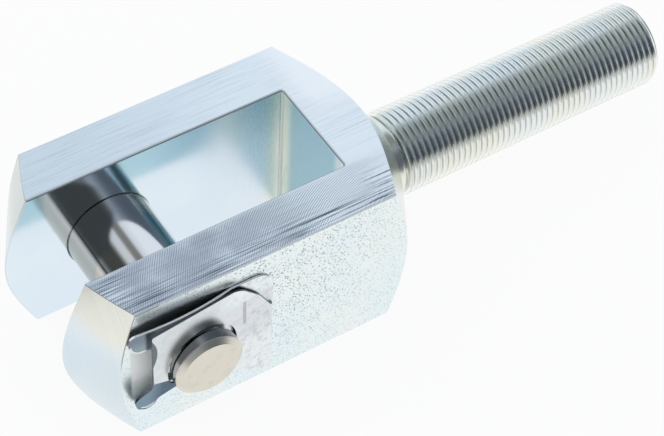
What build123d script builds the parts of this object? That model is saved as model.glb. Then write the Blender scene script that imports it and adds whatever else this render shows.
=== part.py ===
from build123d import *
import os
from math import atan, radians, sqrt, tan

# A clevis rod end: a machined fork head on a threaded shank, a pivot pin across
# its ears and a folded spring clip that keeps the pin in place.
# Millimetres. The origin is where the pin's axis crosses the fork's long axis.
# +X points along the shank, Y is the pin's axis, +Z is up. The clip is on the
# ear at -Y, and distances "outward" there are measured from that ear's face.

# ---- fork head ----
head_width = 50.0          # across the ears
head_height = 40.0
head_nose = 25.0           # pivot to the plane of the ear tips
slot_width = 25.0
slot_floor_x = 43.3        # pivot to the bottom of the slot
slot_corner_r = 0.5
slot_edge_break = 0.4
turned_angle = 60.0        # slope of both turned cones against the long axis
nose_cone_dia = 25.0       # front cone at the plane of the ear tips
rear_cone_dia = 22.4       # rear cone where the shank starts
long_edge_break = 0.3
stock_margin = 1.0         # bar corners to the start of the turned profile

# ---- shank ----
shank_start_x = 60.0
shank_end_x = 132.0
thread_major_dia = 20.0
collar_length = 1.6        # plain ring between the head and the run-out groove
groove_length = 0.9
groove_depth = 1.0
end_chamfer_length = 1.4
end_chamfer_depth = 1.1

# ---- pivot pin ----
pin_dia = 20.0
pin_clearance = 0.05       # radial, pin in bore
bore_edge_break = 0.25
pin_head_dia = 28.0
pin_head_length = 4.0
pin_head_break = 0.8
pin_head_gap = 0.1         # head to the ear that it bears on
clip_groove_dia = 13.5
clip_groove_inset = 0.15   # groove starts this far inside the ear's face
clip_groove_end = 2.5      # outward
pin_tail_dia = 15.9
pin_tail_end = 5.0         # outward, where the end chamfer starts
tail_chamfer_depth = 1.2
tail_chamfer_length = 0.95

# ---- lock clip, both leaves ----
strip_thickness = 0.5
leaf_top_z = 15.1
fold_x = 17.0              # centre of the fold
fold_gap = 0.2             # between the leaves at the fold
fold_low_z = -7.0
fold_high_z = 5.0
leaf_room = 8.0            # more than the clip stands out

# ---- lock clip, inner leaf ----
clip_ear_gap = 0.1         # leaf to the ear's face
groove_clearance = 0.1     # radial, leaf in the pin's groove
inner_rear_x = 17.9
inner_low_z = -17.3
inner_rear_corner_r = 4.5
inner_front_corner_r = 1.5
bow_start_x = 8.0
bow_peak_x = -4.5
bow_peak_rise = 1.3
inner_tip_x = -16.1
inner_tip_rise = 0.6
inner_tip_low_z = 9.4
inner_tip_r = 2.6
inner_tip_root_x = -10.2
inner_tip_corner_r = 1.0
prong_tip_x = -3.2
prong_low_z = -10.0
prong_tip_r = 0.8
prong_heel_x = 9.1
prong_heel_z = -13.2
prong_heel_r = 5.0
inner_heel_x = 13.6
inner_heel_z = -16.4
inner_heel_r = 4.0
inner_rear_low_r = 1.0

# ---- lock clip, outer leaf ----
eye_clearance = 0.7        # radial, leaf round the pin's tail
spread_x = 8.0             # where the outer leaf starts to stand off
spread_rise = 0.3
outer_front_x = -12.1
outer_front_rise = 2.1
outer_front_corner_r = 0.4
outer_shoulder_x = 9.4
outer_shoulder_r = 5.0
outer_corner_x = 14.2
outer_corner_z = 9.9
outer_corner_r = 8.0
outer_low_z = -11.4
outer_low_x = 12.6
outer_low_r = 3.0
eye_gap_x = 0.5            # where the eye is slit open, below the pin
mark_x = 10.5
mark_z = 6.8
mark_length = 7.4
mark_width = 0.7
mark_depth = 0.12
tab_root_z = -0.2          # bend line at the front edge
tab_slope = 22.4           # bend line against the long axis
tab_hinge_x = -7.0         # bend line at the eye
tab_bend = 13.0            # inward

# ---- lock clip, thumb tab: run along its bend line, drop away from it ----
tab_neck_run = 0.6
tab_neck_drop = 2.3
tab_neck_r = 1.0
tab_front_run = -2.6
tab_front_drop = 5.1
tab_front_r = 1.8
tab_foot_run = 0.3
tab_foot_drop = 9.1
tab_foot_r = 2.4
tab_tip_run = 4.0
tab_tip_drop = 10.8
tab_tip_r = 1.8
tab_step_run = 5.4
tab_step_drop = 9.2
tab_step_r = 1.0
tab_notch_run = 4.9
tab_notch_drop = 7.3
tab_notch_r = 1.2
finger_end_run = 9.7
finger_end_drop = 4.7
finger_root_run = 6.0

half_width = head_width / 2
half_height = head_height / 2
shank_r = thread_major_dia / 2
cone_slope = tan(radians(turned_angle))
tab_hinge_z = tab_root_z - (tab_hinge_x - outer_front_x) * tan(radians(tab_slope))
blank_r = sqrt(half_width**2 + half_height**2) + stock_margin
bore_r = pin_dia / 2 + pin_clearance
collar_end_x = shank_start_x + collar_length
groove_end_x = collar_end_x + groove_length

# ---- fork: square bar, turned to a cone at both ends, slotted and bored ----
with BuildPart() as fork:
    with BuildSketch(Plane.YZ.offset(-head_nose)):
        Rectangle(head_width, head_height)
    extrude(amount=head_nose + shank_start_x)
    chamfer(fork.edges().filter_by(Axis.X), length=long_edge_break)
    with BuildSketch(Plane.XY):
        with BuildLine():
            Polyline(
                (-head_nose, 0),
                (-head_nose, nose_cone_dia / 2),
                (-head_nose + (blank_r - nose_cone_dia / 2) / cone_slope, blank_r),
                (shank_start_x - (blank_r - rear_cone_dia / 2) / cone_slope, blank_r),
                (shank_start_x, rear_cone_dia / 2),
                (shank_start_x, 0),
                close=True,
            )
        make_face()
    revolve(axis=Axis.X, mode=Mode.INTERSECT)
    # slot between the ears, open at the front
    with BuildSketch(Plane.XY):
        with Locations((slot_floor_x, 0)):
            Rectangle(slot_floor_x + head_nose, slot_width, align=(Align.MAX, Align.CENTER))
        fillet(vertices().group_by(Axis.X)[-1], radius=slot_corner_r)
    extrude(amount=head_height, both=True, mode=Mode.SUBTRACT)
    slot_walls = faces().filter_by(Axis.Y).filter_by(lambda f: abs(abs(f.center().Y) - slot_width / 2) < 0.01)
    rims = slot_walls.edges().filter_by(lambda e: e.center().X < slot_floor_x - 2 * slot_corner_r)
    chamfer(rims, length=slot_edge_break)
    # cross bore for the pin
    with Locations(Plane.XZ):
        Hole(bore_r)
    bore_rims = edges().filter_by(GeomType.CIRCLE).filter_by(lambda e: abs(e.radius - bore_r) < 0.01)
    chamfer(bore_rims, length=bore_edge_break)
    # shank with its collar, run-out groove and end chamfer
    with BuildSketch(Plane.XY):
        with BuildLine():
            Polyline(
                (shank_start_x, 0),
                (shank_start_x, shank_r),
                (collar_end_x, shank_r),
                (collar_end_x, shank_r - groove_depth),
                (groove_end_x, shank_r - groove_depth),
                (groove_end_x, shank_r),
                (shank_end_x - end_chamfer_length, shank_r),
                (shank_end_x, shank_r - end_chamfer_depth),
                (shank_end_x, 0),
                close=True,
            )
        make_face()
    revolve(axis=Axis.X)
fork.part.label = "fork"

# ---- pivot pin: head beyond the far ear, groove and tail beyond the near one ----
head_seat_y = half_width + pin_head_gap
head_end_y = head_seat_y + pin_head_length
tail_r = pin_tail_dia / 2
with BuildPart() as pivot_pin:
    with BuildSketch(Plane.XY):
        with BuildLine():
            Polyline(
                (0, head_end_y),
                (pin_head_dia / 2 - pin_head_break, head_end_y),
                (pin_head_dia / 2, head_end_y - pin_head_break),
                (pin_head_dia / 2, head_seat_y),
                (pin_dia / 2, head_seat_y),
                (pin_dia / 2, clip_groove_inset - half_width),
                (clip_groove_dia / 2, clip_groove_inset - half_width),
                (clip_groove_dia / 2, -half_width - clip_groove_end),
                (tail_r, -half_width - clip_groove_end),
                (tail_r, -half_width - pin_tail_end),
                (tail_r - tail_chamfer_depth, -half_width - pin_tail_end - tail_chamfer_length),
                (0, -half_width - pin_tail_end - tail_chamfer_length),
                close=True,
            )
        make_face()
    revolve(axis=Axis.Y)
pivot_pin.part.label = "pivot_pin"

# ---- lock clip, inner leaf: lies on the ear and bows out into the pin's groove ----
leaf_y = -half_width - clip_ear_gap
slot_r = clip_groove_dia / 2 + groove_clearance
with BuildPart() as inner_leaf:
    with BuildSketch(Plane.XY):
        with BuildLine():
            flat = Line((inner_rear_x, leaf_y), (bow_start_x, leaf_y))
            bow = ThreePointArc(
                flat @ 1,
                (bow_peak_x, leaf_y - bow_peak_rise),
                (inner_tip_x, leaf_y - inner_tip_rise),
            )
            outer_bow = ThreePointArc(
                (bow_start_x, leaf_y - strip_thickness),
                (bow_peak_x, leaf_y - bow_peak_rise - strip_thickness),
                (inner_tip_x, leaf_y - inner_tip_rise - strip_thickness),
            )
            Line(bow @ 1, outer_bow @ 1)
            Polyline(outer_bow @ 0, (inner_rear_x, leaf_y - strip_thickness), flat @ 0)
        make_face()
    extrude(amount=head_height / 2, both=True)
    with BuildSketch(Plane.XZ.offset(half_width)):
        with BuildLine():
            rim = FilletPolyline(
                (inner_rear_x, fold_high_z),
                (inner_rear_x, leaf_top_z),
                (inner_tip_x, leaf_top_z),
                (inner_tip_x, inner_tip_low_z),
                (inner_tip_root_x, inner_tip_low_z),
                (inner_tip_root_x + inner_tip_r, 0),
                (prong_tip_x, 0),
                (prong_tip_x, prong_low_z),
                (prong_heel_x, prong_heel_z),
                (inner_heel_x, inner_heel_z),
                (inner_rear_x, inner_low_z),
                (inner_rear_x, fold_low_z),
                radius=[
                    inner_rear_corner_r,
                    inner_front_corner_r,
                    inner_tip_r,
                    inner_tip_corner_r,
                    0,
                    0,
                    prong_tip_r,
                    prong_heel_r,
                    inner_heel_r,
                    inner_rear_low_r,
                ],
            )
            Polyline(rim @ 1, (fold_x, fold_low_z), (fold_x, fold_high_z), rim @ 0)
        make_face()
        Circle(slot_r, mode=Mode.SUBTRACT)
        Rectangle(head_nose, 2 * slot_r, align=(Align.MAX, Align.CENTER), mode=Mode.SUBTRACT)
    extrude(amount=leaf_room, mode=Mode.INTERSECT)

# ---- lock clip, outer leaf: stands off towards the front, with an eye round the pin's tail ----
outer_y = leaf_y - strip_thickness - fold_gap
eye_r = tail_r + eye_clearance
with BuildPart() as outer_leaf:
    with BuildSketch(Plane.XY):
        with BuildLine():
            under = Polyline(
                (fold_x, outer_y),
                (spread_x, outer_y - spread_rise),
                (outer_front_x, outer_y - outer_front_rise),
            )
            over = Polyline(
                (fold_x, outer_y - strip_thickness),
                (spread_x, outer_y - spread_rise - strip_thickness),
                (outer_front_x, outer_y - outer_front_rise - strip_thickness),
            )
            Line(under @ 0, over @ 0)
            Line(under @ 1, over @ 1)
        make_face()
    extrude(amount=head_height / 2, both=True)
    with BuildSketch(Plane.XZ.offset(half_width)):
        with BuildLine():
            rim = FilletPolyline(
                (fold_x, fold_high_z),
                (outer_corner_x, outer_corner_z),
                (outer_shoulder_x, leaf_top_z),
                (outer_front_x, leaf_top_z),
                (outer_front_x, tab_root_z),
                (tab_hinge_x, tab_hinge_z),
                (eye_gap_x, tab_hinge_z),
                (eye_gap_x, outer_low_z),
                (outer_low_x, outer_low_z),
                (fold_x, fold_low_z),
                radius=[outer_corner_r, outer_shoulder_r, outer_front_corner_r, 0, 0, 0, 0, outer_low_r],
            )
            Line(rim @ 1, rim @ 0)
        make_face()
        Circle(eye_r, mode=Mode.SUBTRACT)
    extrude(amount=leaf_room, mode=Mode.INTERSECT)

# the front arm's end is set inwards at a slanting bend line and ends in a thumb tab
stand_off = atan((outer_front_rise - spread_rise) / (spread_x - outer_front_x))
tab_y = outer_y - outer_front_rise - strip_thickness / 2
bend_run = Vector(1, tan(stand_off), -tan(radians(tab_slope)))
leaf_normal = Vector(tan(stand_off), -1, 0)
arm_plane = Plane(origin=(outer_front_x, tab_y, tab_root_z), x_dir=bend_run, z_dir=leaf_normal)
with BuildPart() as thumb_tab:
    with BuildSketch(arm_plane.rotated((tab_bend, 0, 0))):
        with BuildLine():
            rim = FilletPolyline(
                (0, strip_thickness / 2),
                (tab_neck_run, -tab_neck_drop),
                (tab_front_run, -tab_front_drop),
                (tab_foot_run, -tab_foot_drop),
                (tab_tip_run, -tab_tip_drop),
                (tab_step_run, -tab_step_drop),
                (tab_notch_run, -tab_notch_drop),
                (finger_end_run, -finger_end_drop),
                (finger_root_run, strip_thickness / 2),
                radius=[tab_neck_r, tab_front_r, tab_foot_r, tab_tip_r, tab_step_r, tab_notch_r, 0],
            )
            Line(rim @ 1, rim @ 0)
        make_face()
    extrude(amount=strip_thickness / 2, both=True)
    with BuildSketch(Plane.XZ.offset(half_width)):
        Circle(eye_r)
    extrude(amount=leaf_room, mode=Mode.SUBTRACT)

fold_r = strip_thickness + fold_gap / 2
with BuildPart() as lock_clip:
    add(inner_leaf.part)
    add(outer_leaf.part)
    add(thumb_tab.part)
    with BuildSketch(Plane.XY.offset(fold_low_z)):
        with Locations((fold_x, leaf_y - fold_r)):
            Circle(fold_r)
            Circle(fold_gap / 2, mode=Mode.SUBTRACT)
            Rectangle(2 * fold_r, 2 * fold_r, align=(Align.MAX, Align.CENTER), mode=Mode.SUBTRACT)
    extrude(amount=fold_high_z - fold_low_z)
    # short stiffening mark pressed into the outer leaf
    with BuildSketch(Plane.XZ.offset(-(outer_y - spread_rise - strip_thickness + mark_depth))):
        with Locations((mark_x, mark_z)):
            SlotOverall(mark_length, mark_width, rotation=90)
    extrude(amount=leaf_room, mode=Mode.SUBTRACT)
lock_clip.part.label = "lock_clip"

os.makedirs("parts", exist_ok=True)
export_step(fork.part, "parts/fork.step")
export_step(pivot_pin.part, "parts/pivot_pin.step")
export_step(lock_clip.part, "parts/lock_clip.step")
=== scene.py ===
import bpy
import bmesh
from math import cos, hypot, pi, radians, sin
from mathutils import Matrix, Vector


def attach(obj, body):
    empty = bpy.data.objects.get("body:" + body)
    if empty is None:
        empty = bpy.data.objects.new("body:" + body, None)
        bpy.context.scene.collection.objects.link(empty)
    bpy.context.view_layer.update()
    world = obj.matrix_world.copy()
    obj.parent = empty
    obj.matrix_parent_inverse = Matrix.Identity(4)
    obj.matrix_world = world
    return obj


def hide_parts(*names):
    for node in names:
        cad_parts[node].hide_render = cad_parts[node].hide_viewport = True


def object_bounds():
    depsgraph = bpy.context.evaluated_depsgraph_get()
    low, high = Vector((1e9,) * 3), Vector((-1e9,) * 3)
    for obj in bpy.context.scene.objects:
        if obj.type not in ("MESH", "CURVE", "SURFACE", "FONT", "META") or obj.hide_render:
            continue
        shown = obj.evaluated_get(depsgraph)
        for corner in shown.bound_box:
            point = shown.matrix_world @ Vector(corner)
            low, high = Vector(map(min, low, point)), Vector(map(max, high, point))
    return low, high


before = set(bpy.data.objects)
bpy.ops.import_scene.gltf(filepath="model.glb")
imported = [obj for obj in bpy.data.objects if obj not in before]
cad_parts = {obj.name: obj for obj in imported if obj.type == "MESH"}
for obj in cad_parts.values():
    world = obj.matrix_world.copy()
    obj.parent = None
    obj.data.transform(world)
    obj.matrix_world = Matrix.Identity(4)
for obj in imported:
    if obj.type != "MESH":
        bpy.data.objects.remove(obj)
cad_low, cad_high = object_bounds()
MM = 0.001

# ---- Camera ----
# Stands above the open end and the near ear, so that the slot, the pin's tail
# with its clip and the whole threaded shank are in view.


def add_object(name, data):
    added = bpy.data.objects.new(name, data)
    bpy.context.scene.collection.objects.link(added)
    return added


azimuth, elevation, roll = radians(-34.569), radians(49.767), radians(2.928)
shift_right, shift_up, stand_off = 41.24, 10.47, 498.3
camera_back = Vector((sin(azimuth) * cos(elevation), -cos(azimuth) * cos(elevation), sin(elevation)))
camera_right = Vector((0, 0, 1)).cross(camera_back).normalized()
camera_up = camera_back.cross(camera_right)
turn = Matrix((camera_right, camera_up, camera_back)).transposed() @ Matrix.Rotation(roll, 3, "Z")
camera = add_object("camera", bpy.data.cameras.new("camera"))
camera.location = turn @ Vector((shift_right, shift_up, stand_off)) * MM
camera.rotation_euler = turn.to_euler()
camera.data.lens = 127.39
camera.data.clip_start = 0.05
bpy.context.scene.camera = camera
bpy.context.scene.view_settings.view_transform = "Standard"


# ---- Studio ----
# A plain white bench inside a soft tent of cloth, lit by one lamp. Metal also
# mirrors the tent's dim gaps and the dark beyond the bench's left edge.
class Sock:
    """One socket of a node tree, which takes part in ordinary arithmetic."""

    def __init__(self, tree, socket):
        self.tree, self.socket = tree, socket

    def math(self, operation, *others):
        return self.tree.node("ShaderNodeMath", dict(operation=operation), [self, *others])

    def __add__(self, other): return self.math("ADD", other)
    def __sub__(self, other): return self.math("SUBTRACT", other)
    def __mul__(self, other): return self.math("MULTIPLY", other)
    def __truediv__(self, other): return self.math("DIVIDE", other)
    def __pow__(self, other): return self.math("POWER", other)
    def __mod__(self, other): return self.math("FLOORED_MODULO", other)
    def __neg__(self): return self.math("MULTIPLY", -1.0)
    def __abs__(self): return self.math("ABSOLUTE")
    def __rsub__(self, other): return -self + other
    def __rtruediv__(self, other): return self.math("POWER", -1.0) * other
    __radd__, __rmul__ = __add__, __mul__

    def low(self, other):
        return self.math("MINIMUM", other)

    def high(self, other):
        return self.math("MAXIMUM", other)

    def fade(self, low, high):
        """0 below low, 1 above high, smooth between; high may be the smaller."""
        ramp = dict(interpolation_type="SMOOTHSTEP")
        if low < high:
            return self.tree.node("ShaderNodeMapRange", ramp, {0: self, 1: low, 2: high})
        return self.tree.node("ShaderNodeMapRange", ramp, {0: self, 1: high, 2: low, 3: 1.0, 4: 0.0})


class Nodes:
    """A node tree that is built one call a node."""

    def __init__(self, tree):
        self.tree = tree

    def node(self, kind, settings={}, inputs={}, out=0):
        made = self.tree.nodes.new(kind)
        for key, value in settings.items():
            setattr(made, key, value)
        pairs = inputs.items() if isinstance(inputs, dict) else enumerate(inputs)
        for key, value in pairs:
            self.put(made, key, value)
        return Sock(self, made.outputs[out])

    def put(self, made, key, value):
        socket = made.inputs[key]
        if isinstance(value, Sock):
            self.tree.links.new(value.socket, socket)
        elif socket.type == "RGBA" and len(value) == 3:
            socket.default_value = (*value, 1.0)
        else:
            socket.default_value = value

    def mix(self, factor, low, high):
        return self.node("ShaderNodeMix", dict(data_type="RGBA"), {0: factor, 6: low, 7: high}, 2)

    def layer(self, colour, *tints):
        """Lays tints over a colour, each a pair of its mask and its colour."""
        for mask, tint in tints:
            colour = self.mix(mask, colour, tint)
        return colour

    def place(self):
        """Object coordinates in millimetres: the vector and its three parts."""
        point = self.node("ShaderNodeTexCoord", {}, {}, "Object")
        point = self.node("ShaderNodeVectorMath", dict(operation="SCALE"), {0: point, "Scale": 1000.0})
        parts = [self.node("ShaderNodeSeparateXYZ", {}, [point], axis) for axis in "XYZ"]
        return point, *parts

    def vector(self, x, y, z):
        return self.node("ShaderNodeCombineXYZ", {}, [x, y, z])

    def length(self, x, y, z):
        return self.node("ShaderNodeVectorMath", dict(operation="LENGTH"), {0: self.vector(x, y, z)}, "Value")

    def noise(self, at, scale, detail=3.0, rough=0.5):
        inputs = dict(Vector=at, Scale=scale, Detail=detail, Roughness=rough)
        return self.node("ShaderNodeTexNoise", {}, inputs)

    def dots(self, at, scale):
        """Distance to the nearest of many scattered points, in cells."""
        return self.node("ShaderNodeTexVoronoi", {}, dict(Vector=at, Scale=scale))


def new_material(name):
    material = bpy.data.materials.new(name)
    material.use_nodes = True
    shader = material.node_tree.nodes["Principled BSDF"]
    return material, Nodes(material.node_tree), shader


def finish_metal(nodes, shader, colour, rough, height, metal=1.0):
    """Height is in micrometres."""
    bump = nodes.node("ShaderNodeBump", {}, dict(Strength=1.0, Distance=1e-6, Height=height))
    for key, value in {"Base Color": colour, "Roughness": rough, "Metallic": metal, "Normal": bump}.items():
        nodes.put(shader, key, value)


def ray_masks(nodes):
    """1 for rays from the camera, and 1 for rays that metal or glass sends on."""
    path = nodes.tree.nodes.new("ShaderNodeLightPath")
    camera_ray = Sock(nodes, path.outputs["Is Camera Ray"])
    glossy_ray = Sock(nodes, path.outputs["Is Glossy Ray"])
    glass_ray = Sock(nodes, path.outputs["Is Transmission Ray"])
    return camera_ray, glossy_ray.high(glass_ray)


white = (1.0, 1.0, 1.0)
bench, nodes, shader = new_material("bench")
nodes.put(shader, "Base Color", (0.86, 0.87, 0.88))
nodes.put(shader, "Roughness", 0.8)
nodes.put(shader, "Specular IOR Level", 0.1)
camera_ray, mirror_ray = ray_masks(nodes)
point, x, y, z = nodes.place()
past_edge = x.fade(-200.0, -330.0).high(y.fade(-130.0, -260.0) * 0.8) * mirror_ray
bench_colour = nodes.mix(past_edge, white, (0.05, 0.06, 0.06))
glow = nodes.node("ShaderNodeEmission", {}, {"Color": bench_colour, "Strength": 1.0})
glow_share = camera_ray * 0.92 + mirror_ray * 0.96
surface = nodes.node("ShaderNodeMixShader", {}, [glow_share, Sock(nodes, shader.outputs[0]), glow])
nodes.put(bench.node_tree.nodes["Material Output"], "Surface", surface)
bench_mesh = bpy.data.meshes.new("bench")
reach = 3.0
level = cad_low.z - 0.1 * MM
corners = [(-reach, -reach, level), (reach, -reach, level), (reach, reach, level), (-reach, reach, level)]
bench_mesh.from_pydata(corners, [], [(0, 1, 2, 3)])
bench_mesh.materials.append(bench)
bench_top = add_object("bench", bench_mesh)

world = bpy.data.worlds.new("tent")
bpy.context.scene.world = world
world.use_nodes = True
nodes = Nodes(world.node_tree)
toward = nodes.node("ShaderNodeTexCoord")
tent_gaps = (  # the gap's direction, the angles of its edge and its full depth, and its colour
    ((0.35, -0.10, 0.95), 30, 8, (0.17, 0.20, 0.19)),
    ((0.50, -0.80, 0.35), 48, 14, (0.09, 0.11, 0.14)),
    ((-0.55, -0.60, 0.58), 48, 28, (0.22, 0.24, 0.25)),
    ((-0.72, 0.53, 0.42), 24, 12, (0.22, 0.24, 0.24)),
    ((-0.07, 0.53, 0.84), 11, 4, (0.26, 0.27, 0.27)),
)
tent = (0.80, 0.89, 1.0)
for direction, edge, full, dim in tent_gaps:
    pair = [toward, Vector(direction).normalized()]
    along = nodes.node("ShaderNodeVectorMath", dict(operation="DOT_PRODUCT"), pair, "Value")
    tent = nodes.mix(along.fade(cos(radians(edge)), cos(radians(full))), tent, dim)
camera_ray, mirror_ray = ray_masks(nodes)
tent = nodes.mix(mirror_ray, (0.75, 0.78, 0.80), tent)
nodes.put(world.node_tree.nodes["Background"], "Color", nodes.mix(camera_ray, tent, white))

key_light = bpy.data.lights.new("key_lamp", "AREA")
key_light.shape, key_light.size, key_light.size_y = "RECTANGLE", 0.6, 0.6
key_light.energy = 0.9
key_lamp = add_object("key_lamp", key_light)
key_lamp.location = (-0.5, 0.1, 0.7)
lamp_aim = Vector((0.03, 0.0, 0.0))
key_lamp.rotation_euler = (lamp_aim - key_lamp.location).to_track_quat("-Z", "Y").to_euler()

# ---- Fork ----
# A square bar of free-cutting steel, turned to cones at both ends, slotted and
# bored, with the shank turned and rolled. Zinc plated and passivated blue.


def welded_copy(name, node, zones=lambda face: 0, sharp_past=25.0):
    """The node's own skin with its triangles joined. Each face takes the slot
    that zones gives, and edges between slots or past the angle are sharp."""
    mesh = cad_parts[node].data.copy()
    mesh.name = name
    mesh.materials.clear()
    skin = bmesh.new()
    skin.from_mesh(mesh)
    bmesh.ops.remove_doubles(skin, verts=skin.verts, dist=2e-6)
    skin.normal_update()
    for face in skin.faces:
        face.smooth = True
        face.material_index = zones(face)
    for edge in skin.edges:
        sides = {face.material_index for face in edge.link_faces}
        edge.smooth = len(sides) == 1 and edge.calc_face_angle(0.0) < radians(sharp_past)
    skin.to_mesh(mesh)
    skin.free()
    return add_object(name, mesh)


head_top, head_side = 20.0, 25.0
slot_side, slot_floor = 12.5, 43.3
turned, milled, drawn, slotted, broken = range(5)


def fork_zone(face):
    middle, normal = face.calc_center_median() / MM, face.normal
    if abs(normal.z) > 0.999 and abs(middle.z) > head_top - 0.1:
        return milled
    if abs(normal.y) > 0.999 and abs(middle.y) > head_side - 0.1:
        return drawn
    if abs(middle.y) < slot_side + 0.01 and middle.x < slot_floor + 0.01 and abs(normal.z) < 0.5:
        return slotted
    if middle.x < slot_floor + 0.5 and abs(normal.x) < 0.8 and 0.6 < abs(normal.z) < 0.8:
        return broken
    return turned


thread_start, thread_end = 62.5 * MM, 132 * MM
core_radius = 8.95 * MM
fork_body = welded_copy("fork_body", "fork", fork_zone)
# the bar inside the thread, which is its own piece, is squeezed to a core
for vertex in fork_body.data.vertices:
    x, y, z = vertex.co
    if x > thread_start - 0.05 * MM and hypot(y, z) > core_radius:
        squeeze = core_radius / hypot(y, z)
        vertex.co = (min(x, thread_end - 0.1 * MM), y * squeeze, z * squeeze)

# turned faces: fine rings round the bar's own axis, with painted reflections of
# the surroundings' pale blue and cream on the nose, painted shade on the upper far
# side of the nose, and a thin dark line along the nose's edges with the flat faces
zinc_turned, nodes, shader = new_material("zinc_turned")
point, x, y, z = nodes.place()
rings = nodes.noise(nodes.vector(nodes.length(0.0, y, z) * 3.0, x * 3.0, 0.0), 1.0, 3.0, 0.6)
film = nodes.noise(point, 0.05, 2.0)
nose = x.fade(0.0, -6.0)
nose_low_painted_reflection = nose * z.fade(13.0, 3.0) * 0.85
nose_high_painted_reflection = nose * z.fade(8.0, 15.0) * 0.7
far_nose_painted_shade = nose * z.fade(6.0, 14.0) * y.fade(5.0, 14.0) * 0.6
border = z.fade(19.76, 19.84).high(abs(y).fade(24.76, 24.84) * z.fade(3.0, 8.0)) * nose
colour = nodes.layer(
    nodes.mix(film.fade(0.36, 0.64), (0.78, 0.86, 0.92), (0.86, 0.87, 0.80)),
    (nose_low_painted_reflection, (0.69, 0.79, 0.85)),
    (nose_high_painted_reflection, (0.82, 0.81, 0.73)),
    (far_nose_painted_shade, (0.56, 0.64, 0.66)),
    (rings.fade(0.55, 0.72) * 0.25, (0.55, 0.60, 0.62)),
    (border * 0.8, (0.20, 0.20, 0.20)),
)
finish_metal(nodes, shader, colour, rings * 0.10 + 0.20, rings * 2.0)

# milled faces: hatched by the cutter, scored lengthwise along the bar's edge;
# painted light makes them lighter towards the rear and near white on the far
# side's rear corner, and painted shade clouds the near bar darker
zinc_milled, nodes, shader = new_material("zinc_milled")
point, x, y, z = nodes.place()
cutter_x, cutter_y, cutter_feed = 56.0, -55.0, 0.45
cutter = nodes.length(x - cutter_x, y - cutter_y, 0.0)
wander = nodes.noise(point, 0.5, 2.0)
hatch = ((cutter * (2 * pi / cutter_feed)) + wander * 6.0).math("SINE") * 0.5 + 0.5
near_bar = y.fade(-12.0, -14.0)
score = nodes.noise(nodes.vector(x * 0.05, y * 2.6, 0.0), 1.0, 3.0, 0.65)
score_edge = y.fade(-19.0, -22.0)
score_front = x.fade(-9.0, -14.0) * near_bar
score_rear = x.fade(42.0, 46.0) * y.fade(-15.0, -19.0)
scored = score_edge.high(score_front).high(score_rear) * 0.85 + 0.15
haze_and_shade = nodes.noise(point, 0.14, 3.0)
colour = nodes.layer(
    nodes.mix(x.fade(-5.0, 45.0), (0.73, 0.79, 0.82), (0.88, 0.92, 0.93)),
    (near_bar * haze_and_shade.fade(0.15, 0.6) * x.fade(40.0, 8.0), (0.50, 0.53, 0.57)),
    (hatch.fade(0.35, 1.0) * (near_bar * x.fade(56.0, 42.0) * 0.62 + 0.08), (0.22, 0.25, 0.30)),
    (score.fade(0.50, 0.62) * scored, (0.13, 0.16, 0.20)),
    (score.fade(0.44, 0.38) * scored * 0.7, (0.88, 0.92, 0.95)),
    (x.fade(42.0, 50.0) * y.fade(-2.0, 10.0), (0.98, 0.98, 0.96)),
)
finish_metal(nodes, shader, colour, haze_and_shade * 0.1 + 0.24, hatch * 1.5 + score * scored * 8.0)

# drawn faces: flecked with pits, most of them behind the clip, and a patch of
# painted light, pale and not metal, on the near ear in front of the pin
zinc_drawn, nodes, shader = new_material("zinc_drawn")
point, x, y, z = nodes.place()
film = nodes.noise(point, 0.06, 2.0)
skin_grain = nodes.noise(point, 2.2, 4.0, 0.6)
patchy = nodes.noise(point, 0.22, 3.0, 0.6)
pits = nodes.dots(point, 1.35).fade(0.34, 0.14) * patchy.fade(0.26, 0.44)
specks = nodes.dots(point, 2.2).fade(0.36, 0.16) * patchy.fade(0.32, 0.50)
thickly = x.fade(-20.0, 18.0) * x.fade(60.0, 20.0) * z.fade(-24.0, 8.0)
pits = pits.high(specks * 0.8) * (thickly * 0.6 + 0.3)
painted_light_patch = abs(x + 12.8).fade(3.0, 2.3) * z.fade(-7.5, -5.5) * z.fade(9.0, 8.0) * y.fade(-20.0, -22.0)
painted_light_patch = painted_light_patch * (z.fade(-2.0, 0.5) * 0.3 + 0.68)
colour = nodes.layer(
    nodes.mix(film.fade(0.36, 0.64), (0.82, 0.92, 0.95), (0.87, 0.93, 0.93)),
    (skin_grain.fade(0.56, 0.75) * 0.3, (0.62, 0.72, 0.76)),
    (pits, (0.12, 0.19, 0.23)),
    (painted_light_patch, (0.96, 0.96, 0.94)),
)
rough = skin_grain * 0.12 + 0.24 + pits * 0.2
finish_metal(nodes, shader, colour, rough, skin_grain * 3.0 - pits * 8.0, metal=1.0 - painted_light_patch)

# slot and bore: bright from the side mill, with painted teal reflection where one
# wall mirrors another, and a thin line of painted shade in the inner corners
zinc_slot, nodes, shader = new_material("zinc_slot")
point, x, y, z = nodes.place()
sweep = nodes.noise(nodes.vector(x * 2.5, y * 0.3, z * 0.06), 1.0, 3.0, 0.6)
film = nodes.noise(point, 0.06, 2.0)
floor_face = x.fade(43.0, 43.25)
shaded = floor_face.high(y.fade(-11.8, -12.3))
painted_teal_reflection = nodes.mix(x.fade(20.0, 36.0), (0.57, 0.76, 0.80), (0.41, 0.59, 0.65))
corner = (x.fade(37.5, 41.0) * (1.0 - floor_face)).high(floor_face * abs(y).fade(7.5, 11.0))
corner_painted_shade = x.fade(42.6, 42.9) * abs(y).fade(11.9, 12.2)
wall_end = x.fade(14.0, 36.0) * (1.0 - floor_face)
colour = nodes.layer(
    nodes.mix(film.fade(0.36, 0.64), (0.74, 0.84, 0.93), (0.77, 0.86, 0.93)),
    (shaded, painted_teal_reflection),
    (corner * sweep.fade(0.2, 0.5) * 0.9, (0.84, 0.87, 0.80)),
    (corner_painted_shade * 0.45, (0.28, 0.33, 0.33)),
)
rough = sweep * 0.08 + 0.07 + shaded * 0.12 + wall_end * 0.16
finish_metal(nodes, shader, colour, rough, sweep * 1.6)
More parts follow.
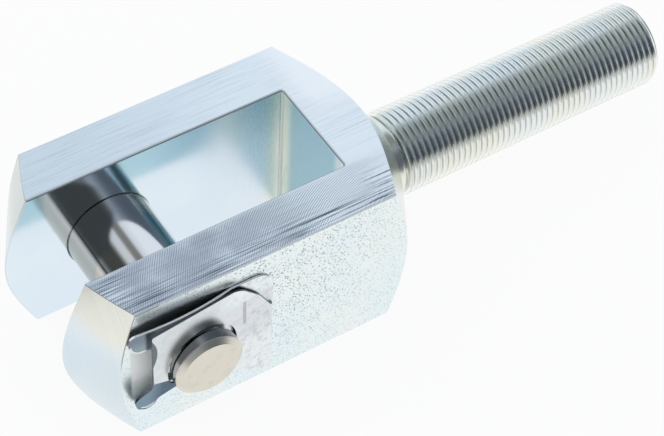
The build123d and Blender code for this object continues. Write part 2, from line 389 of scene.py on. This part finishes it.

# broken edges, matt: painted shade round the slot, and a painted highlight on the
# outside of the bar
zinc_edge, nodes, shader = new_material("zinc_edge")
point, x, y, z = nodes.place()
outer_painted_highlight = (abs(y).fade(20.0, 23.0) * x.fade(-9.0, -8.0)).high(abs(z).fade(19.76, 19.82) * 0.8)
colour = nodes.mix(outer_painted_highlight, (0.22, 0.25, 0.28), (0.86, 0.90, 0.94))
finish_metal(nodes, shader, colour, 0.5, 0.0, metal=0.5)

for material in (zinc_turned, zinc_milled, zinc_drawn, zinc_slot, zinc_edge):
    fork_body.data.materials.append(material)
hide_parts("fork")
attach(fork_body, "fork")

# ---- Shank thread ----
# A fine right-hand metric thread, rolled over the whole shank. Its crests are
# flat, its roots rounded, and both ends run out on a turned chamfer.


def geometry_tree(name, **inputs):
    tree = bpy.data.node_groups.new(name, "GeometryNodeTree")
    for key, value in inputs.items():
        kind = "NodeSocketInt" if isinstance(value, int) else "NodeSocketFloat"
        tree.interface.new_socket(key, in_out="INPUT", socket_type=kind)
    tree.interface.new_socket("Geometry", in_out="OUTPUT", socket_type="NodeSocketGeometry")
    group = tree.nodes.new("NodeGroupInput")
    nodes = Nodes(tree)
    return nodes, [Sock(nodes, socket) for socket in group.outputs[:len(inputs)]]


def grown(name, nodes, geometry, material, **inputs):
    """Ends the tree, runs it on an empty piece and keeps its plain mesh."""
    solid = nodes.node("GeometryNodeRealizeInstances", {}, [geometry])
    solid = nodes.node("GeometryNodeSetMaterial", {}, {"Geometry": solid, "Material": material})
    nodes.put(nodes.tree.nodes.new("NodeGroupOutput"), 0, solid)
    seed = add_object(name + "_seed", bpy.data.meshes.new(name + "_seed"))
    modifier = seed.modifiers.new("grow", "NODES")
    modifier.node_group = nodes.tree
    for item in nodes.tree.interface.items_tree:
        if item.in_out == "INPUT":
            modifier[item.identifier] = inputs[item.name]
    bpy.context.view_layer.update()
    evaluated = seed.evaluated_get(bpy.context.evaluated_depsgraph_get())
    mesh = bpy.data.meshes.new_from_object(evaluated)
    mesh.name = name
    mesh.materials.pop(index=0)  # the grid's own slot, which is empty
    bpy.data.objects.remove(seed)
    return add_object(name, mesh)


# Each row of a grid goes once round the shank and climbs one pitch, to meet the
# row that starts there. What lies past either end shrinks to the axis.
thread_sizes = dict(pitch=1.5 * MM, depth=0.92 * MM, radius=10 * MM, start=thread_start, end=thread_end,
                    lead_in=0.7 * MM, end_chamfer=1.4 * MM, end_drop=1.1 * MM, rows=12, sides=96)
nodes, sizes = geometry_tree("rolled_thread", **thread_sizes)
pitch, depth, radius, start, end, lead_in, end_chamfer, end_drop, rows, sides = sizes
turns_before, turns_spare = 3.0, 4.0
turns = ((end - start) / pitch).math("CEIL") + turns_spare
grid = nodes.node("GeometryNodeMeshGrid", {}, {"Vertices X": turns * rows + 1.0, "Vertices Y": sides + 1.0})
index = nodes.node("GeometryNodeInputIndex")
row = (index / (sides + 1.0)).math("FLOOR")
side = index - row * (sides + 1.0)
angle = side / sides
x_free = start + pitch * (row / rows - turns_before + angle)
x = x_free.high(start).low(end)
crest_flat, root_flat = 0.16, 0.90
phase = ((x - start) / pitch - angle) % 1.0
from_crest = abs(phase - 0.5) * 2.0
ridged = radius - depth * from_crest.fade(crest_flat, root_flat)
end_cone = radius - end_drop + end_drop * ((end - x) / end_chamfer)
full_depth = depth * 1.05
start_cone = radius - full_depth + full_depth * ((x - start) / lead_in)
margin = pitch * 1.5
past_start = (x_free - start + margin).math("GREATER_THAN", 0.0)
before_end = (end + margin - x_free).math("GREATER_THAN", 0.0)
thread_radius = ridged.low(end_cone).low(start_cone) * (past_start * before_end)
around = angle * (2.0 * pi)
spot = nodes.vector(x, -(thread_radius * around.math("SINE")), thread_radius * around.math("COSINE"))
coil = nodes.node("GeometryNodeSetPosition", {}, {"Geometry": grid, "Position": spot})
coil = nodes.node("GeometryNodeMergeByDistance", {}, {"Geometry": coil, "Distance": 1e-6})

# the finish: painted shade in the roots, heavier on top, two duller bands on the
# near side as painted reflections, and crests that are flattened and less bright
zinc_thread, shade, shader = new_material("zinc_thread")
point, x, y, z = shade.place()
turned_lines = shade.noise(shade.vector(x * 8.0, y * 0.15, z * 0.15), 1.0, 3.0)
tint = shade.noise(point, 0.08, 2.0)
reach_out = shade.length(0.0, y, z)
degrees_round = (-y).math("ARCTAN2", z) * (180.0 / pi)
coil_only = x.fade(131.95, 131.8)
root_painted_shade = reach_out.fade(9.48, 9.14) * (degrees_round.fade(8.0, -8.0) * 0.4 + 0.4)
upper_painted_reflection = degrees_round.fade(0.0, 10.0) * degrees_round.fade(40.0, 32.0) * 0.65
lower_painted_reflection = degrees_round.fade(50.0, 58.0) * degrees_round.fade(74.0, 67.0) * 0.6
colour = shade.layer(
    shade.mix(tint.fade(0.35, 0.65), (0.90, 0.93, 0.92), (0.92, 0.93, 0.87)),
    (root_painted_shade * coil_only, (0.20, 0.23, 0.24)),
    ((upper_painted_reflection + lower_painted_reflection) * coil_only, (0.56, 0.58, 0.55)),
)
crest = reach_out.fade(9.84, 9.93)
near_side = degrees_round.fade(4.0, 14.0) * degrees_round.fade(74.0, 66.0)
rough = turned_lines * 0.08 + 0.08 + crest * 0.25
metal = 1.0 - crest * 0.28 * (1.0 - near_side)
finish_metal(shade, shader, colour, rough, turned_lines * 1.5, metal=metal)
thread = grown("shank_thread", nodes, coil, zinc_thread, **thread_sizes)
skin = bmesh.new()
skin.from_mesh(thread.data)
bmesh.ops.dissolve_degenerate(skin, edges=skin.edges, dist=1e-6)
bmesh.ops.recalc_face_normals(skin, faces=skin.faces)
skin.to_mesh(thread.data)
skin.free()
thread.data.set_sharp_from_angle(angle=radians(35))
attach(thread, "fork")

# ---- Pivot pin ----
# Ground round bar with a flat head, a groove for the clip and a stub tail.
# Bare grey steel, mirror bright between the ears and turned dull on its ends.
pin = welded_copy("pin_body", "pivot_pin")
pin_steel, nodes, shader = new_material("pin_steel")
point, x, y, z = nodes.place()
rings = nodes.noise(nodes.vector(x * 0.2, y * 12.0, z * 0.2), 1.0, 3.0)
turning = (nodes.length(x, 0.0, z) * 14.0).math("SINE")
warm = nodes.noise(point, 0.15, 2.0)
blotch = nodes.noise(point, 0.35, 4.0, 0.65)
on_ends = (-y).fade(29.7, 29.9).high(y.fade(28.3, 28.5))
# painted reflections: tints lengthwise, by degrees round the pin, stand for the
# mirrored slot
degrees_round = x.math("ARCTAN2", z) * (180.0 / pi)
in_slot = abs(y).fade(13.5, 13.0)
painted_bright_side = degrees_round.fade(-12.0, 4.0) * degrees_round.fade(170.0, 120.0)
painted_dull_side = degrees_round.fade(-58.0, -74.0) * degrees_round.fade(-178.0, -150.0)
painted_dark_streak = degrees_round.fade(-64.0, -56.0) * (y.fade(2.0, 9.0) * 24.0 - 28.0 - degrees_round).fade(-5.0, 6.0)
# the tail's side darkened as painted shade, most towards the rear
tail_painted_shade = y.fade(-26.0, -27.0) * (degrees_round.fade(-10.0, 20.0) * 0.6 + 0.25)
end_colour = nodes.layer(
    nodes.mix(turning.fade(-0.2, 1.0) * 0.35, (0.78, 0.74, 0.65), (0.60, 0.55, 0.47)),
    (blotch.fade(0.48, 0.72) * 0.3, (0.50, 0.46, 0.40)),
)
colour = nodes.layer(
    nodes.mix(warm.fade(0.3, 0.7), (0.62, 0.61, 0.60), (0.66, 0.62, 0.57)),
    (painted_bright_side * in_slot, (0.84, 0.82, 0.81)),
    (painted_dull_side * in_slot * 0.5, (0.34, 0.35, 0.30)),
    (painted_dark_streak * in_slot * 0.92, (0.18, 0.18, 0.17)),
    (tail_painted_shade, (0.15, 0.17, 0.17)),
    (on_ends, end_colour),
)
rough = rings * 0.06 + 0.09 + on_ends * 0.22
finish_metal(nodes, shader, colour, rough, rings * 0.8 + on_ends * turning * 1.2)
pin.data.materials.append(pin_steel)
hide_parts("pivot_pin")
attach(pin, "pin")

# ---- Lock clip ----
# One stamped strip of spring steel, folded back on itself: the inner leaf snaps
# into the pin's groove and the outer leaf lies over it. Zinc plated.
stamped, sheared, tab, inside, painted_highlight_edge = range(5)
front_x, bend_z, bend_slope = -12.1, -0.2, 0.412
tab_rear_x, fold_x = -3.5, 17.0
outer_leaf_y = -26.8
gap_y, gap_slope, gap_y_most = -26.62, 0.096, -25.6


def clip_zone(face):
    middle, normal = face.calc_center_median() / MM, face.normal
    on_tab = middle.x < tab_rear_x and middle.z < bend_z - (middle.x - front_x) * bend_slope
    if abs(normal.y) < 0.5 and middle.x < fold_x:
        on_inner_leaf = middle.y > min(gap_y_most, gap_y + middle.x * gap_slope)
        on_top = normal.z > 0.5 and middle.z > 9.0
        return painted_highlight_edge if on_inner_leaf and on_top else sheared
    if normal.y > 0.5:
        return inside if on_tab or middle.y < outer_leaf_y else sheared
    return tab if on_tab else stamped


clip = welded_copy("clip_body", "lock_clip", clip_zone)

# stamped faces: clouded, with a short line pressed in behind the pin; painted
# light on the upper rear corner and the lower half, painted shade as a dark lens
# along the outer leaf's front edge, and the inner leaf's tip painted dark teal as
# a reflection, with a painted highlight along its rim
clip_steel, nodes, shader = new_material("clip_steel")
point, x, y, z = nodes.place()
mottle = nodes.noise(point, 0.7, 4.0, 0.6)
cloud = nodes.noise(point, 0.25, 3.0, 0.6)
upper_corner_painted_light = x.fade(2.0, 9.0) * z.fade(8.5, 12.0)
lower_half_painted_light = z.fade(2.0, -6.0)
lens_middle, lens_half, lens_depth = 9.7, 4.3, 1.15
lens = 1.0 - ((z - lens_middle) / lens_half) ** 2.0
front_lens_painted_shade = (lens * lens_depth + front_x - x).fade(-0.1, 0.12) * y.fade(outer_leaf_y, -27.2)
inner_tip_painted_reflection = x.fade(-9.5, -11.0) * y.fade(-26.9, -26.6)
tip_corner = nodes.length(x + 13.5, 0.0, z - 12.0).fade(2.1, 2.25) * x.fade(-13.4, -13.6) * z.fade(12.2, 12.0)
tip_rim_painted_highlight = z.fade(9.95, 9.8).high(tip_corner)
pressed = abs(x - 10.5).fade(0.5, 0.25) * abs(z - 6.8).fade(3.8, 3.2) * y.fade(-26.0, -26.1)
colour = nodes.layer(
    nodes.mix(cloud.fade(0.35, 0.65), (0.76, 0.77, 0.81), (0.68, 0.74, 0.76)),
    (upper_corner_painted_light * 0.8, (0.86, 0.92, 0.96)),
    (lower_half_painted_light * 0.7, (0.88, 0.92, 0.93)),
    (mottle.fade(0.45, 0.68) * (x.fade(4.0, 15.0) * 0.35 + 0.12), (0.42, 0.47, 0.48)),
    (front_lens_painted_shade * 0.9, (0.09, 0.12, 0.14)),
    (inner_tip_painted_reflection * 0.9, nodes.mix(z.fade(10.0, 14.0), (0.24, 0.33, 0.36), (0.14, 0.19, 0.25))),
    (tip_rim_painted_highlight * inner_tip_painted_reflection * 0.8, (0.85, 0.90, 0.92)),
    (pressed * 0.55, (0.30, 0.34, 0.37)),
)
finish_metal(nodes, shader, colour, mottle * 0.08 + 0.20, mottle * 2.0)

# sheared edges: dark, nearly black below as painted shade, paler and less
# metallic by the fold
clip_sheared, nodes, shader = new_material("clip_sheared")
point, x, y, z = nodes.place()
grain = nodes.noise(point, 3.0, 3.0)
by_fold = x.fade(13.0, 15.5)
colour = nodes.layer(
    nodes.mix(grain, (0.08, 0.09, 0.10), (0.20, 0.21, 0.24)),
    (z.fade(-2.0, -4.0) * 0.85, (0.01, 0.012, 0.015)),
    (by_fold, (0.70, 0.73, 0.75)),
)
finish_metal(nodes, shader, colour, 0.3, grain * 2.0, metal=1.0 - by_fold * 0.8)

# thumb tab and its finger: painted darker and bluer than the leaves as a dark
# reflection, with a blue tint on its reflections, darkest towards the rear and
# lighter at the bottom; the tab's round foot has a painted shade outline and a
# painted highlight rim inside it
clip_tab, nodes, shader = new_material("clip_tab")
point, x, y, z = nodes.place()
mottle = nodes.noise(point, 0.9, 3.0)
foot_radius, foot_x, foot_z = 1.8, -12.05, -9.27
from_round = foot_radius - nodes.length(x - foot_x, 0.0, z - foot_z)
from_side = x * 0.717 + z * 0.697 + 16.95
foot_inset = from_round.high(z.fade(-10.0, -9.3) * 9.0).low(from_side.high(z.fade(-8.8, -8.3) * 9.0))
colour = nodes.layer(
    nodes.mix(x.fade(-13.5, -8.5), (0.17, 0.25, 0.29), (0.03, 0.055, 0.08)),
    (z.fade(-8.8, -10.2) * 0.8, (0.62, 0.68, 0.72)),
    (mottle.fade(0.4, 0.7) * 0.15, (0.20, 0.28, 0.32)),
    (foot_inset.fade(0.9, 0.75) * 0.9, (0.88, 0.92, 0.93)),
    (foot_inset.fade(0.42, 0.32), (0.01, 0.012, 0.015)),
)
nodes.put(shader, "Specular Tint", (0.75, 0.83, 0.93))
finish_metal(nodes, shader, colour, 0.24, mottle * 2.0)

# faces towards the ear: pale and dull as painted light, and darker under the tab
# as painted shade
clip_inside, nodes, shader = new_material("clip_inside")
point, x, y, z = nodes.place()
colour = nodes.mix(z.fade(-3.5, -5.0), (0.92, 0.91, 0.89), (0.38, 0.45, 0.48))
finish_metal(nodes, shader, colour, 0.55, nodes.noise(point, 2.0) * 3.0, metal=0.2)

# upper edge of the inner leaf: a painted highlight, paler than the other sheared
# edges
clip_painted_highlight_edge, nodes, shader = new_material("clip_painted_highlight_edge")
finish_metal(nodes, shader, (0.92, 0.93, 0.95), 0.45, 0.0, metal=0.5)

for material in (clip_steel, clip_sheared, clip_tab, clip_inside, clip_painted_highlight_edge):
    clip.data.materials.append(material)
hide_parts("lock_clip")
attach(clip, "clip")
